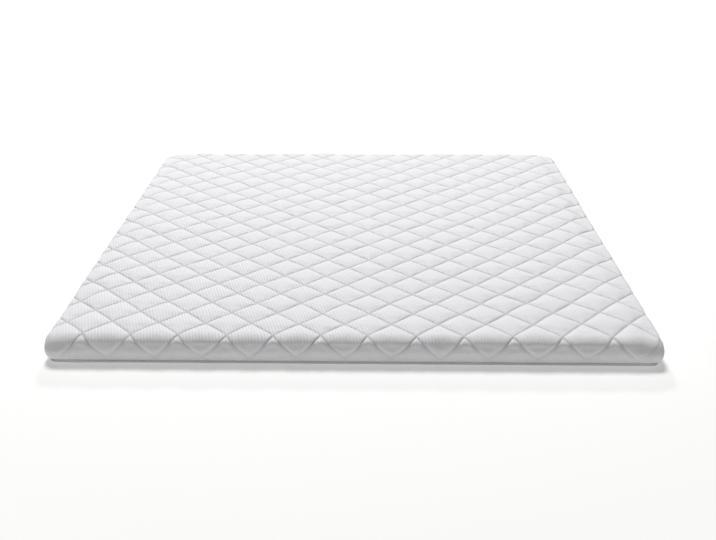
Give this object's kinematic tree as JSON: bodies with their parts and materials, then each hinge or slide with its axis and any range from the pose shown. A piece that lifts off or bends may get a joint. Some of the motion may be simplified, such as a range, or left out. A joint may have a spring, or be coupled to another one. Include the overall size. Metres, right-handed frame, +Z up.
{
  "type": "mattress topper",
  "caption": "Square filled mattress topper with a diamond-quilted knit cover and a plain base panel.",
  "frame": {"origin": "on the floor, under the middle of the topper", "axes": "+Z up, +X to the right and +Y to the back, as seen from the front side"},
  "size_m": [2.0012, 2.0012, 0.1155],
  "materials": {
    "quilted_knit": "matt white double knit, quilted on the bias",
    "plain_base_cloth": "matt off-white plain cloth"
  },
  "bodies": {
    "root": {"quilted_body": "quilted_knit", "base_panel": "plain_base_cloth"}
  },
  "joints": []
}
